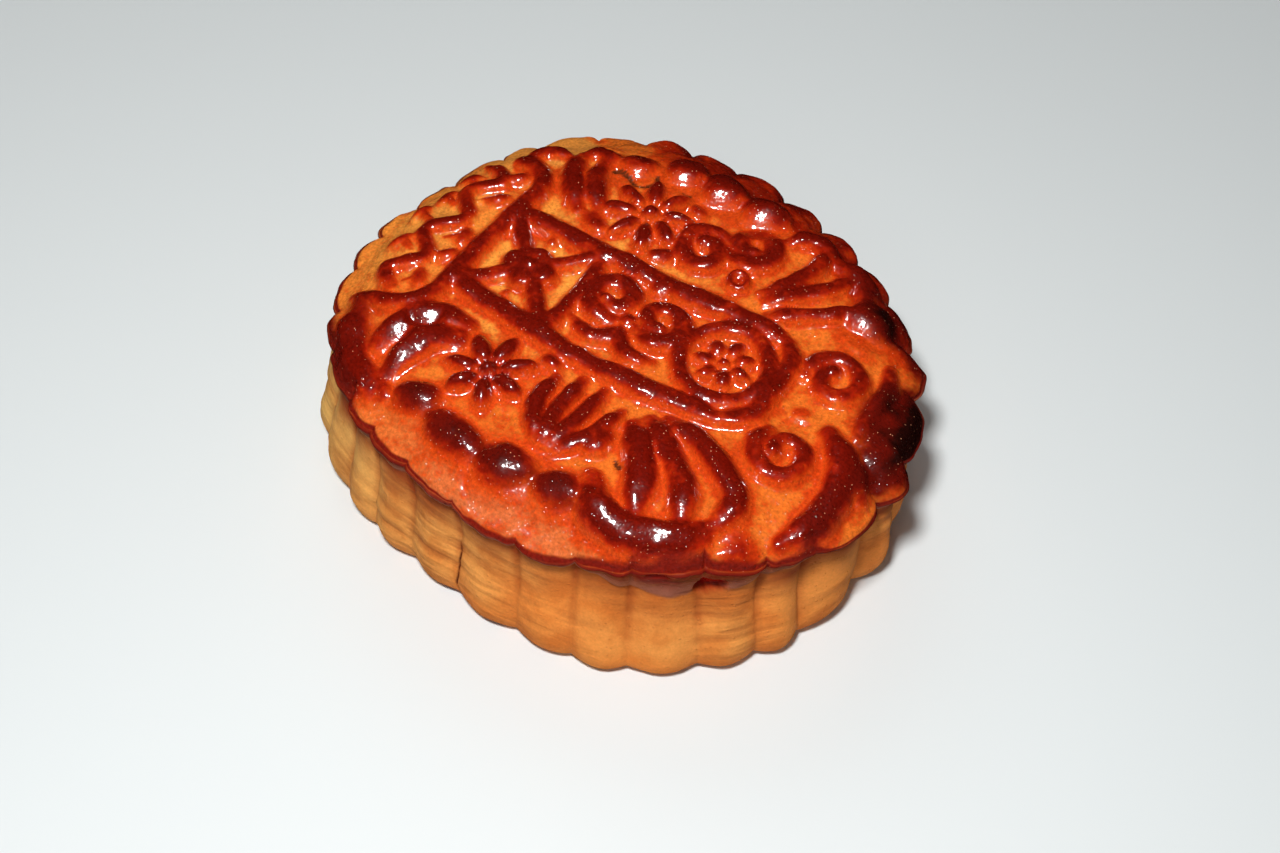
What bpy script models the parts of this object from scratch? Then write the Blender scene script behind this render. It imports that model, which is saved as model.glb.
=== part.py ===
"""A baked mooncake: an oval pastry with a scalloped side and a raised ornament on its crown.

One solid, built in three steps: a profile is turned round the upright axis, the turned body is
pressed into the scalloped oval of the mould, and the ribs, beads and flowers of the mould's
ornament are joined to its crown.  Sizes are in millimetres and are scaled to metres at the end.
The base stands on Z = 0, the long axis is X, and the origin is the middle of the base.
"""

import math

import bmesh
import bpy
from mathutils import Matrix, Vector

# ---- driving sizes, mm ----
MM = 0.001
HALF_LENGTH = 46.0
HALF_WIDTH = 39.6
RIM_HEIGHT = 25.2
CROWN_HEIGHT = 29.6

# Lobes of the scalloped side, in degrees, anticlockwise from the one past the long axis.
FIRST_NOTCH = 7.0
LOBE_SPANS = (
    17, 13, 13, 12, 12, 11, 12, 10, 10, 10, 13, 9, 14, 12, 12,
    11, 13, 10, 12, 9, 10, 12, 14, 12, 11, 14, 12, 10, 18, 12,
)
LOBE_DEPTHS = (
    1.2, 1.2, 1.3, 1.2, 1.3, 1.2, 1.0, 0.9, 1.0, 0.9, 0.9, 0.8, 0.8, 0.8, 0.8,
    0.9, 0.9, 1.0, 0.9, 0.9, 1.0, 0.9, 1.0, 0.9, 0.9, 1.0, 0.95, 1.0, 1.2, 1.2,
)
STEPS_PER_LOBE = 4
SCALLOP_DEPTH = 1.75            # multiplied by each lobe's own depth above
SCALLOP_AT_FOOT = 0.8           # share of that depth left at the foot
SCALLOP_FOOT_HEIGHT = 9.0
SCALLOP_STAND_OUT = 0.45        # how far the lobes stand out past the oval
FRONT_FILLED = 0.40             # share of the depth lost at the rim along the near side
FRONT_FILLED_ANGLE = 262.0
FRONT_FILLED_SPREAD = 46.0
END_FILLED = 0.75               # the same at one notch by the burnt end
END_FILLED_ANGLE = 337.0
END_FILLED_SPREAD = 8.0
FILLED_HEIGHTS = (RIM_HEIGHT - 5.0, RIM_HEIGHT - 1.0)
SCALLOP_FADE = (0.925, 1.0)     # shares of the oval where the scallops vanish and are full
PLUMP_FADE = (0.83, 0.985)      # the same where the crown's edge is parted into plump lobes
PLUMP_ANGLE = 60.0
PLUMP_SPREAD = 65.0

# The baked dough is not a true oval, and its foot has moved and swollen.
THREE_SIDED = 0.024
FOUR_SIDED = 0.013
PRESSED_SIDE = 0.020
PRESSED_SIDE_ANGLE = 160.0
PRESSED_SIDE_SPREAD = 28.0
BURNT_LOBE = 0.024
BURNT_LOBE_ANGLE = 1.0
BURNT_LOBE_SPREAD = 6.0
LEAN = 3.0
FOOT_SWELLING = 3.4
FOOT_SWELLING_ANGLE = -60.0
FOOT_SWELLING_SPREAD = 26.0
FOOT_SWELLING_HEIGHT = 15.0

# Upright half section: share of the oval's half axes, and height.
SECTION = (
    (0.964, 0.0),
    (1.000, 1.4),
    (1.010, 5.0),
    (1.006, 11.0),
    (0.986, RIM_HEIGHT - 4.0),
    (0.998, RIM_HEIGHT - 2.0),
    (1.000, RIM_HEIGHT - 0.5),
    (0.986, RIM_HEIGHT + 0.3),
    (0.940, CROWN_HEIGHT - 3.1),
    (0.870, CROWN_HEIGHT - 1.6),
    (0.790, CROWN_HEIGHT - 0.5),
    (0.700, CROWN_HEIGHT),
)

# Ribs, beads and petals of the ornament.
RAIL = 2.0                      # radii of the ribs
RIB = 1.75
FINE_RIB = 1.5
VINE = 1.4
SLIM_PETAL = 1.6
PETAL = 1.9
BROAD_PETAL = 2.1
ARCH = 2.4
MEDALLION_PLACE = (16.2, 1.1)
MEDALLION_RADIUS = 6.7
MEDALLION_SIDES = 8
APRON_SHIFT = (0.8, -1.5)       # a fat bead has sagged by this much toward the front
APRON_SPREAD = 1.1
APRON_RISE = 0.42
BLADE_ROOT = (2.6, -26.2)
TIP = 0.62                      # share of a rib's radius left at its ends
RIB_LIFT = 0.12
BEAD_SINK = 0.3
ROUTE_STEPS = 2
TRIANGLES_KEPT = 0.8
CURL_BEND = 50.0
CURL_TIGHTENING = 0.62
SMALL = (8, 4)                  # sides and belts of a small bead


# ---- the shape of the body ----
def smooth_step(low, high, value):
    t = min(max((value - low) / (high - low), 0.0), 1.0)
    return t * t * (3.0 - 2.0 * t)


def lobe_place(turn):
    """The real angle of an even turn (0 to 1), how far it is through its lobe, and the depth there."""
    lobes = len(LOBE_SPANS)
    position = (turn % 1.0) * lobes
    lobe = int(position + 1e-6) % lobes
    through = max(position - int(position + 1e-6), 0.0)
    angle = FIRST_NOTCH + sum(LOBE_SPANS[:lobe]) + through * LOBE_SPANS[lobe]
    neighbour = (lobe + (1 if through > 0.5 else -1)) % lobes
    edge_share = abs(2.0 * through - 1.0)
    edge_depth = 0.5 * (LOBE_DEPTHS[lobe] + LOBE_DEPTHS[neighbour])
    depth = LOBE_DEPTHS[lobe] + (edge_depth - LOBE_DEPTHS[lobe]) * edge_share
    return math.radians(angle), through, SCALLOP_DEPTH * depth


def hump(angle, peak, spread):
    """A smooth hump round an angle: 1 at its peak, and gone some way past its spread; degrees."""
    off_peak = (math.degrees(angle) - peak + 180.0) % 360.0 - 180.0
    return math.exp(-((off_peak / spread) ** 2))


def oval_factor(angle):
    """How far the baked outline departs from the oval, at an angle."""
    return (
        1.0
        + THREE_SIDED * math.cos(3.0 * (angle + math.radians(12.0)))
        + FOUR_SIDED * math.cos(4.0 * (angle - math.radians(37.0)))
        - PRESSED_SIDE * hump(angle, PRESSED_SIDE_ANGLE, PRESSED_SIDE_SPREAD)
        + BURNT_LOBE * hump(angle, BURNT_LOBE_ANGLE, BURNT_LOBE_SPREAD)
    )


def pressed(turn, share, height):
    """The place on the moulded body of a point on the turned one."""
    angle, through, depth = lobe_place(turn)
    bulge = math.sqrt(max(1.0 - (2.0 * through - 1.0) ** 2, 0.0))
    above_foot = smooth_step(0.0, SCALLOP_FOOT_HEIGHT, height)
    plump = hump(angle, PLUMP_ANGLE, PLUMP_SPREAD)
    gone, full = (a + (b - a) * plump for a, b in zip(SCALLOP_FADE, PLUMP_FADE))
    filled = FRONT_FILLED * hump(angle, FRONT_FILLED_ANGLE, FRONT_FILLED_SPREAD)
    filled += END_FILLED * hump(angle, END_FILLED_ANGLE, END_FILLED_SPREAD)
    depth *= 1.0 - filled * smooth_step(*FILLED_HEIGHTS, height)
    scallop = SCALLOP_STAND_OUT - depth * (1.0 - bulge)
    scallop *= SCALLOP_AT_FOOT + (1.0 - SCALLOP_AT_FOOT) * above_foot
    scallop *= smooth_step(gone, full, share)
    swelling = FOOT_SWELLING * hump(angle, FOOT_SWELLING_ANGLE, FOOT_SWELLING_SPREAD)
    swelling *= 1.0 - smooth_step(0.0, FOOT_SWELLING_HEIGHT, height)
    grow = share * oval_factor(angle) + (swelling + scallop) / HALF_WIDTH
    lean = LEAN * max(1.0 - height / RIM_HEIGHT, 0.0)
    return Vector(
        (
            HALF_LENGTH * grow * math.cos(angle) - lean,
            HALF_WIDTH * grow * math.sin(angle),
            height,
        )
    )


def crown(x, y):
    """Height of the crown over a point."""
    angle = math.atan2(y / HALF_WIDTH, x / HALF_LENGTH)
    share = math.hypot(x / HALF_LENGTH, y / HALF_WIDTH) / oval_factor(angle)
    top = SECTION[7:]
    for (outer, low), (inner, high) in zip(top, top[1:]):
        if share >= inner:
            t = min((outer - share) / (outer - inner), 1.0)
            return low + (high - low) * max(t, 0.0)
    return CROWN_HEIGHT


def make_body(collection, material):
    """The body: the half section turned round, its ends closed, then pressed into the oval."""
    steps = STEPS_PER_LOBE * len(LOBE_SPANS)
    bm = bmesh.new()
    chain = [bm.verts.new((share * HALF_LENGTH, 0.0, z)) for share, z in reversed(SECTION)]
    for upper, lower in zip(chain, chain[1:]):
        bm.edges.new((upper, lower))
    mesh = bpy.data.meshes.new("half_section")
    bm.to_mesh(mesh)
    bm.free()
    turned = bpy.data.objects.new("turned", mesh)
    collection.objects.link(turned)
    screw = turned.modifiers.new("Screw", "SCREW")
    screw.steps = steps
    screw.render_steps = steps
    screw.use_merge_vertices = True
    screw.merge_threshold = 0.0001
    bpy.context.view_layer.update()
    depsgraph = bpy.context.evaluated_depsgraph_get()
    mesh = bpy.data.meshes.new_from_object(turned.evaluated_get(depsgraph))
    bpy.data.objects.remove(turned)

    bm = bmesh.new()
    bm.from_mesh(mesh)
    bmesh.ops.holes_fill(bm, edges=bm.edges)
    for vertex in bm.verts:
        x, y, z = vertex.co
        turn = math.atan2(y, x) / math.tau
        vertex.co = pressed(turn, math.hypot(x, y) / HALF_LENGTH, z)
    bmesh.ops.recalc_face_normals(bm, faces=bm.faces)
    bm.to_mesh(mesh)
    bm.free()
    mesh.name = "mooncake"
    mesh.materials.append(material)
    body = bpy.data.objects.new("mooncake", mesh)
    collection.objects.link(body)
    return body


# ---- pieces of the ornament ----
def add_piece(collection, name, mesh):
    """A mesh that the body is joined with."""
    piece = bpy.data.objects.new(name, mesh)
    piece.hide_render = True
    piece.display_type = "WIRE"
    collection.objects.link(piece)


def smooth_route(points, closed=False):
    """Points along a smooth curve through the given ones."""
    count = len(points)
    spans = count if closed else count - 1
    route = []
    for i in range(spans):
        if closed:
            a, b, c, d = (Vector(points[(i + k) % count]) for k in (-1, 0, 1, 2))
        else:
            a, b, c, d = (Vector(points[min(max(i + k, 0), count - 1)]) for k in (-1, 0, 1, 2))
        for step in range(ROUTE_STEPS):
            t = step / ROUTE_STEPS
            route.append(
                0.5
                * (
                    2.0 * b
                    + (c - a) * t
                    + (2.0 * a - 5.0 * b + 4.0 * c - d) * t * t
                    + (3.0 * b - a - 3.0 * c + d) * t * t * t
                )
            )
    if not closed:
        route.append(Vector(points[-1]))
    return route


def rib(collection, name, points, radius=RIB, closed=False, tips=(TIP, TIP)):
    """A raised rib: a round bar laid along the crown and half sunk into it."""
    route = smooth_route(points, closed)
    curve = bpy.data.curves.new(name, "CURVE")
    curve.dimensions = "3D"
    curve.twist_mode = "Z_UP"
    curve.bevel_depth = radius
    curve.bevel_resolution = 2 if radius > FINE_RIB else 1
    curve.use_fill_caps = not closed
    spline = curve.splines.new("POLY")
    spline.points.add(len(route) - 1)
    for point, place in zip(spline.points, route):
        point.co = (place.x, place.y, crown(place.x, place.y) + RIB_LIFT, 1.0)
    if closed:
        spline.use_cyclic_u = True
    else:
        spline.points[0].radius = tips[0]
        spline.points[-1].radius = tips[1]
    bar = bpy.data.objects.new(name, curve)
    collection.objects.link(bar)
    bpy.context.view_layer.update()
    depsgraph = bpy.context.evaluated_depsgraph_get()
    mesh = bpy.data.meshes.new_from_object(bar.evaluated_get(depsgraph))
    mesh.transform(bar.matrix_world)
    bm = bmesh.new()
    bm.from_mesh(mesh)
    bmesh.ops.remove_doubles(bm, verts=bm.verts, dist=0.0001)
    bm.to_mesh(mesh)
    bm.free()
    bpy.data.objects.remove(bar)
    add_piece(collection, name, mesh)


def bead(collection, name, place, size, rise, turn=0.0, sides=(10, 6)):
    """An oval bead: a flattened ball sunk to its middle into the crown."""
    x, y = place
    bm = bmesh.new()
    bmesh.ops.create_uvsphere(bm, u_segments=sides[0], v_segments=sides[1], radius=1.0)
    shape = (
        Matrix.Translation((x, y, crown(x, y) - BEAD_SINK))
        @ Matrix.Rotation(math.radians(turn), 4, "Z")
        @ Matrix.Diagonal((size[0] / 2.0, size[1] / 2.0, rise + BEAD_SINK, 1.0))
    )
    bmesh.ops.transform(bm, matrix=shape, verts=bm.verts)
    mesh = bpy.data.meshes.new(name)
    bm.to_mesh(mesh)
    bm.free()
    add_piece(collection, name, mesh)


def bun(collection, name, place, size, rise, turn=0.0):
    """A fat bead with a low apron where it has sagged toward the front."""
    bead(collection, name, place, size, rise, turn)
    low_place = (place[0] + APRON_SHIFT[0], place[1] + APRON_SHIFT[1])
    low_size = (APRON_SPREAD * size[0], APRON_SPREAD * size[1])
    bead(collection, f"{name}_apron", low_place, low_size, APRON_RISE * rise, turn, SMALL)


def curl(collection, name, centre, radius, start, sweep, rib_radius=FINE_RIB):
    """A spiral scroll that winds in from its radius, by a sweep in degrees (its sign is the hand)."""
    points = []
    bends = round(abs(sweep) / CURL_BEND)
    for i in range(bends + 1):
        t = i / bends
        angle = math.radians(start + sweep * t)
        reach = radius * (1.0 - CURL_TIGHTENING * t)
        points.append((centre[0] + reach * math.cos(angle), centre[1] + reach * math.sin(angle)))
    rib(collection, name, points, rib_radius)


def blossom(collection, name, centre, radius, petals, turn, rise):
    """A flower: a ring of oval petals round a knob."""
    for i in range(petals):
        angle = turn + 360.0 * i / petals
        reach = 0.6 * radius
        place = (
            centre[0] + reach * math.cos(math.radians(angle)),
            centre[1] + reach * math.sin(math.radians(angle)),
        )
        width = radius * math.sin(math.pi / petals)
        bead(collection, f"{name}_petal_{i}", place, (0.8 * radius, width), rise, angle, SMALL)
    bead(collection, f"{name}_heart", centre, (0.42 * radius, 0.42 * radius), rise, turn, SMALL)


# ---- the ornament, from the middle outwards ----
def make_band(ribs):
    """Two long rails closed at each end, with a crossed panel, a cloud and a ringed flower."""
    rib(ribs, "upper_rail", ((-26.0, 8.2), (-12.0, 8.4), (0.0, 8.7), (12.0, 9.9), (22.0, 10.4)), RAIL)
    rib(ribs, "lower_rail", ((-26.8, -9.0), (-16.0, -9.7), (-5.0, -10.5), (8.0, -9.6), (21.0, -7.6)), RAIL)
    rib(ribs, "right_bar", ((21.5, 10.4), (24.2, 7.0), (24.6, 0.0), (24.2, -4.8), (20.5, -7.7)))
    rib(
        ribs,
        "left_bar",
        ((-35.0, 17.2), (-29.5, 17.6), (-26.6, 13.5), (-26.8, 4.0), (-27.3, -6.0), (-28.0, -14.2),
         (-32.0, -17.4), (-38.4, -18.4)),
    )
    rib(ribs, "post", ((-9.2, 8.6), (-9.4, -10.2)), FINE_RIB)
    rib(ribs, "cross_bar_a", ((-26.0, 7.6), (-18.2, -0.8), (-10.0, -9.4)), FINE_RIB, tips=(1.0, 1.0))
    rib(ribs, "cross_bar_b", ((-26.4, -8.6), (-18.2, -0.8), (-10.0, 7.8)), FINE_RIB, tips=(1.0, 1.0))
    blossom(ribs, "cross_flower", (-18.2, -0.8), 4.6, 4, 0.0, 2.0)
    bead(ribs, "cross_bead_high", (-18.2, 5.6), (2.4, 2.2), 1.1, 0.0, SMALL)
    bead(ribs, "cross_bead_low", (-18.4, -6.6), (2.2, 2.2), 1.1, 0.0, SMALL)
    curl(ribs, "cloud_left", (-3.9, 1.9), 4.3, -62.0, -420.0)
    curl(ribs, "cloud_right", (4.3, 1.9), 4.3, 242.0, 420.0)
    rib(ribs, "cloud_wave", ((-7.0, -5.0), (-3.4, -6.0), (0.2, -4.0), (3.8, -6.0), (7.2, -5.0)), FINE_RIB)
    bead(ribs, "cloud_bead_low", (0.2, -1.2), (3.2, 3.2), 1.6, 0.0, SMALL)
    bead(ribs, "cloud_bead_high", (0.2, 7.0), (3.4, 2.8), 1.4, 0.0, SMALL)
    ring = []
    for i in range(MEDALLION_SIDES):
        angle = math.tau * i / MEDALLION_SIDES
        x = MEDALLION_PLACE[0] + MEDALLION_RADIUS * math.cos(angle)
        y = MEDALLION_PLACE[1] + MEDALLION_RADIUS * math.sin(angle)
        ring.append((x, y))
    rib(ribs, "medallion", ring, FINE_RIB, closed=True)
    blossom(ribs, "medallion_flower", MEDALLION_PLACE, 4.9, 7, 90.0, 1.8)


def make_columns(ribs):
    """A leafy vine at one end of the band, running scrolls at the other, crests by the burnt lobe."""
    rib(
        ribs,
        "vine",
        ((-37.6, 15.0), (-32.6, 12.4), (-35.8, 7.2), (-32.4, 2.4), (-36.6, -2.4), (-33.2, -7.6),
         (-37.0, -12.2), (-34.0, -15.2)),
        VINE,
    )
    for i, (x, y, turn) in enumerate(
        (
            (-30.6, 14.4, 60.0),
            (-37.6, 10.6, 30.0),
            (-30.4, 8.2, 70.0),
            (-38.4, 5.4, 80.0),
            (-30.2, -0.8, 100.0),
            (-40.0, 0.6, 80.0),
            (-38.4, -6.2, 60.0),
            (-30.4, -5.4, 60.0),
            (-31.2, -11.6, 120.0),
        )
    ):
        bead(ribs, f"vine_leaf_{i}", (x, y), (4.6, 2.8), 1.4, turn, SMALL)
    curl(ribs, "right_scroll_high", (31.4, 8.4), 4.9, 200.0, -420.0)
    curl(ribs, "right_scroll_low", (32.0, -7.6), 4.9, 150.0, 420.0)
    bead(ribs, "scroll_bead", (30.2, 0.6), (4.2, 3.2), 0.8, 0.0, SMALL)
    rib(
        ribs,
        "right_crest",
        ((35.5, -0.3), (39.3, -3.0), (41.2, -9.0), (41.2, -15.0), (39.2, -19.4)),
        BROAD_PETAL,
    )
    rib(ribs, "right_branch", ((38.0, -1.6), (41.6, -3.6), (44.6, -6.2)), FINE_RIB)
    rib(ribs, "right_edge", ((36.4, 16.4), (38.2, 12.0), (38.7, 6.5), (38.9, 2.0)), FINE_RIB)
    bead(ribs, "burnt_lobe", (42.4, 6.0), (9.2, 13.0), 1.9, 5.0)
    bead(ribs, "front_swelling", (34.4, -23.4), (8.4, 6.0), 0.9, -35.0)


def make_beads(ribs):
    """A short string of fat beads above and below."""
    for i, (place, size, rise, turn) in enumerate(
        (
            ((-17.0, 27.2), (7.2, 5.2), 1.8, 8.0),
            ((-9.9, 30.2), (6.6, 7.0), 2.4, 0.0),
            ((-3.0, 30.4), (8.0, 7.4), 2.6, 0.0),
            ((4.8, 30.2), (8.6, 7.2), 2.5, 0.0),
            ((-18.2, -29.2), (7.4, 5.2), 1.9, 20.0),
            ((-9.6, -31.7), (10.6, 5.6), 2.1, -4.0),
            ((-0.2, -32.0), (9.4, 6.2), 2.2, 22.0),
            ((8.2, -30.8), (8.2, 5.4), 2.1, 24.0),
        )
    ):
        bun(ribs, f"bead_{i}", place, size, rise, turn)


def make_petals(ribs):
    """Fans of long petals in the four corners."""
    rib(ribs, "upper_left_arch_a", ((-31.8, 18.0), (-31.4, 21.4), (-29.0, 22.8), (-26.6, 22.4)), SLIM_PETAL)
    rib(ribs, "upper_left_arch_b", ((-25.6, 24.6), (-24.0, 26.6), (-21.6, 26.6), (-20.4, 24.6)), SLIM_PETAL)
    rib(ribs, "upper_left_petal_a", ((-25.4, 24.0), (-24.8, 20.6), (-22.2, 16.8), (-19.4, 13.8)), PETAL)
    rib(ribs, "upper_left_petal_b", ((-21.6, 24.8), (-20.6, 21.0), (-18.4, 17.6), (-16.4, 15.4)), PETAL)

    rib(ribs, "upper_right_arch_a", ((11.0, 26.6), (12.6, 29.4), (15.4, 30.2), (19.0, 29.1)))
    rib(ribs, "upper_right_petal_a", ((16.8, 29.8), (17.2, 25.0), (15.8, 20.0), (13.2, 15.6)), SLIM_PETAL)
    rib(ribs, "upper_right_arch_b", ((19.4, 28.6), (22.6, 28.6), (25.4, 26.8), (26.8, 24.4)), BROAD_PETAL)
    rib(ribs, "upper_right_petal_b", ((23.4, 27.0), (20.8, 22.6), (17.6, 18.4), (14.4, 14.6)), SLIM_PETAL)
    bun(ribs, "upper_right_knob", (29.4, 21.4), (7.4, 8.2), 2.7, -10.0)
    rib(ribs, "upper_right_petal_c", ((27.8, 21.0), (23.4, 17.8), (19.8, 15.0), (16.2, 12.6)), SLIM_PETAL)

    rib(
        ribs,
        "lower_right_petal_a",
        ((15.6, -12.8), (20.6, -12.9), (26.2, -15.4), (30.6, -18.8), (30.2, -23.4)),
        PETAL,
    )
    rib(ribs, "lower_right_petal_b", ((13.0, -14.2), (18.2, -16.8), (22.6, -20.6), (26.4, -26.0)), PETAL)
    rib(
        ribs,
        "lower_right_petal_c",
        ((11.6, -16.2), (15.0, -19.4), (18.0, -23.4), (20.0, -28.0)),
        BROAD_PETAL,
    )
    rib(
        ribs,
        "lower_right_arch",
        ((11.8, -27.0), (15.2, -30.4), (20.2, -31.2), (25.8, -29.2), (29.4, -25.4)),
        ARCH,
    )

    rib(ribs, "lower_left_petal_a", ((-19.6, -14.8), (-24.2, -15.9), (-27.6, -19.4), (-29.5, -24.8)), PETAL)
    rib(
        ribs,
        "lower_left_petal_b",
        ((-19.4, -17.6), (-22.8, -19.6), (-24.2, -23.4), (-24.7, -28.2)),
        BROAD_PETAL,
    )
    rib(ribs, "lower_left_arch", ((-35.8, -19.8), (-33.6, -26.2), (-29.4, -30.4), (-23.4, -31.2)), ARCH)


def make_corner_flowers(ribs):
    """A flower, a cloud or a tuft of blades between the beads and each rail."""
    blossom(ribs, "upper_flower", (-9.4, 18.8), 7.6, 8, 20.0, 2.1)
    bead(ribs, "upper_leaf_a", (-15.6, 13.0), (5.8, 3.6), 1.6, 160.0, SMALL)
    bead(ribs, "upper_leaf_b", (-3.2, 13.2), (5.8, 3.6), 1.6, 25.0, SMALL)
    bead(ribs, "upper_bud", (-3.6, 24.2), (4.0, 3.2), 1.6, 0.0, SMALL)
    curl(ribs, "upper_cloud_a", (1.8, 17.8), 4.4, 60.0, 430.0)
    curl(ribs, "upper_cloud_b", (7.4, 22.8), 4.2, 230.0, 430.0)
    bead(ribs, "cloud_drop", (9.2, 15.4), (4.2, 4.2), 1.6, 0.0, SMALL)
    blossom(ribs, "lower_flower", (-11.8, -19.8), 7.2, 7, 90.0, 2.1)
    bead(ribs, "lower_leaf", (-5.0, -13.8), (4.4, 3.0), 1.5, -15.0, SMALL)
    for i, (tip_x, tip_y) in enumerate(((-2.9, -15.8), (0.6, -13.8), (4.4, -13.4), (8.4, -14.8))):
        root_x = BLADE_ROOT[0] + 1.1 * (i - 1.5)
        bow = 0.9 * (i - 1.5)
        middle = (0.5 * (root_x + tip_x) + bow, 0.5 * (BLADE_ROOT[1] + tip_y))
        rib(ribs, f"blade_{i}", ((root_x, BLADE_ROOT[1]), middle, (tip_x, tip_y)), FINE_RIB)
    bead(ribs, "blade_bud", (9.0, -21.4), (4.8, 6.0), 1.8, -20.0, SMALL)


def crust_material():
    """Glazed, oven-browned crust."""
    material = bpy.data.materials.new("baked_crust")
    material.use_nodes = True
    shader = material.node_tree.nodes["Principled BSDF"]
    shader.inputs["Base Color"].default_value = (0.45, 0.11, 0.022, 1.0)
    shader.inputs["Roughness"].default_value = 0.35
    shader.inputs["Metallic"].default_value = 0.0
    return material


def make_mooncake():
    for old in list(bpy.data.objects):
        bpy.data.objects.remove(old)
    scene = bpy.context.scene
    parts = bpy.data.collections.new("mooncake")
    ribs = bpy.data.collections.new("ornament_pieces")
    scene.collection.children.link(parts)
    scene.collection.children.link(ribs)

    body = make_body(parts, crust_material())
    make_band(ribs)
    make_columns(ribs)
    make_beads(ribs)
    make_petals(ribs)
    make_corner_flowers(ribs)

    join = body.modifiers.new("ornament", "BOOLEAN")
    join.operation = "UNION"
    join.operand_type = "COLLECTION"
    join.collection = ribs
    join.solver = "EXACT"
    thin_out = body.modifiers.new("thin_out", "DECIMATE")
    thin_out.decimate_type = "COLLAPSE"
    thin_out.ratio = TRIANGLES_KEPT
    bpy.context.view_layer.update()
    depsgraph = bpy.context.evaluated_depsgraph_get()
    mesh = bpy.data.meshes.new_from_object(body.evaluated_get(depsgraph))
    body.modifiers.clear()
    corners = [v.co for v in mesh.vertices]
    centre_x = 0.5 * (min(c.x for c in corners) + max(c.x for c in corners))
    centre_y = 0.5 * (min(c.y for c in corners) + max(c.y for c in corners))
    mesh.transform(Matrix.Scale(MM, 4) @ Matrix.Translation((-centre_x, -centre_y, 0.0)))
    mesh.shade_smooth()
    mesh.set_sharp_from_angle(angle=math.radians(50.0))
    body.data = mesh


make_mooncake()
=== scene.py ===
"""Looks of the baked mooncake: its crust with the moulded ornament, and the place it is shown in.

Sizes of the cake are in millimetres, worked out in the mould's own flat plan (x along the long
axis, y across it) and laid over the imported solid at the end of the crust's section.
"""

import math

import bpy
import numpy as np
from mathutils import Matrix, Vector


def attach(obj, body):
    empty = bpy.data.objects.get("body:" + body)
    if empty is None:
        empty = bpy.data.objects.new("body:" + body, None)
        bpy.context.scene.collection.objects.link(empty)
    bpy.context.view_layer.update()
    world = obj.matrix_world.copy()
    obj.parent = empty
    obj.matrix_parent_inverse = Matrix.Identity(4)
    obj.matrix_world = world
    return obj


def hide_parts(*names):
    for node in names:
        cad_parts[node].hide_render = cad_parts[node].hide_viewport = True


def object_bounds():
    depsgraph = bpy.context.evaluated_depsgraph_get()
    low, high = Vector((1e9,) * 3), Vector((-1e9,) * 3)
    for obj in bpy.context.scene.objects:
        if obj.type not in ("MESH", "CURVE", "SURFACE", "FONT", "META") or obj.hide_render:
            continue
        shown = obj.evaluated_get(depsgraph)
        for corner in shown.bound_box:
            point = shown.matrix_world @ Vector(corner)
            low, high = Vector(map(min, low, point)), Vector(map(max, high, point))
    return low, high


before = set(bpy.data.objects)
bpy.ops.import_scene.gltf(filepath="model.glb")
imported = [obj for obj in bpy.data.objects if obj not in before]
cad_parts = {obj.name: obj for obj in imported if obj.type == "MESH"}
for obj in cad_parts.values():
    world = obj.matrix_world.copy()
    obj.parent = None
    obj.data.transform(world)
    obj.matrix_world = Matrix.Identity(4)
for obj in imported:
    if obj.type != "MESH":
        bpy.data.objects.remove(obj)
cad_low, cad_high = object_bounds()
bpy.context.scene.view_settings.view_transform = "Standard"


# ---------------------------------------------------------------------------------------------
# The form of the dough.  An oval ball of filled pastry pressed in a carved wooden mould: the
# mould gives the scalloped side and the domed crown, and baking has pushed them out of true.
# ---------------------------------------------------------------------------------------------
MM = 0.001
HALF_LENGTH = 46.0
HALF_WIDTH = 39.6
RIM_HEIGHT = 25.2
CROWN_HEIGHT = 29.6
FIRST_NOTCH = 7.0
LOBE_SPANS = (
    17, 13, 13, 12, 12, 11, 12, 10, 10, 10, 13, 9, 14, 12, 12,
    11, 13, 10, 12, 9, 10, 12, 14, 12, 11, 14, 12, 10, 18, 12,
)
LOBE_DEPTHS = (
    1.2, 1.2, 1.3, 1.2, 1.3, 1.2, 1.0, 0.9, 1.0, 0.9, 0.9, 0.8, 0.8, 0.8, 0.8,
    0.9, 0.9, 1.0, 0.9, 0.9, 1.0, 0.9, 1.0, 0.9, 0.9, 1.0, 0.95, 1.0, 1.2, 1.2,
)
SCALLOP_DEPTH = 1.75
SCALLOP_STAND_OUT = 0.45


def smooth_step(low, high, value):
    t = np.clip((value - low) / (high - low), 0.0, 1.0)
    return t * t * (3.0 - 2.0 * t)


def mixed(a, b, t):
    return a + (b - a) * t


def hump(angle, peak, spread):
    """A smooth hump round an angle; its peak and spread are in degrees."""
    off_peak = (np.degrees(angle) - peak + 180.0) % 360.0 - 180.0
    return np.exp(-((off_peak / spread) ** 2))


def soft_noise(places, size, seed):
    """Smooth noise from -1 to 1 whose waves are about the given size across, in mm."""
    place = np.asarray(places) / size
    cell = np.floor(place).astype(np.int64)
    t = place - cell
    t = t * t * t * (t * (t * 6.0 - 15.0) + 10.0)
    total = np.zeros(len(place))
    for corner in np.ndindex(2, 2, 2):
        key = (cell + corner) @ np.array((374761393, 668265263, 1440662683)) + seed * 974634777
        key = (key ^ (key >> 13)) * 1274126177
        value = ((key ^ (key >> 16)) & 0xFFFF) / 32767.5 - 1.0
        total += value * np.prod(np.where(corner, t, 1.0 - t), axis=1)
    return total


def mould_angle(angle, height):
    """The angle in the mould of a place on the cake; the near side has slewed a little in baking."""
    slewed = math.radians(4.8) * np.maximum(1.0 - height / RIM_HEIGHT, 0.0)
    return angle - slewed * hump(angle, 262.0, 50.0)


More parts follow.
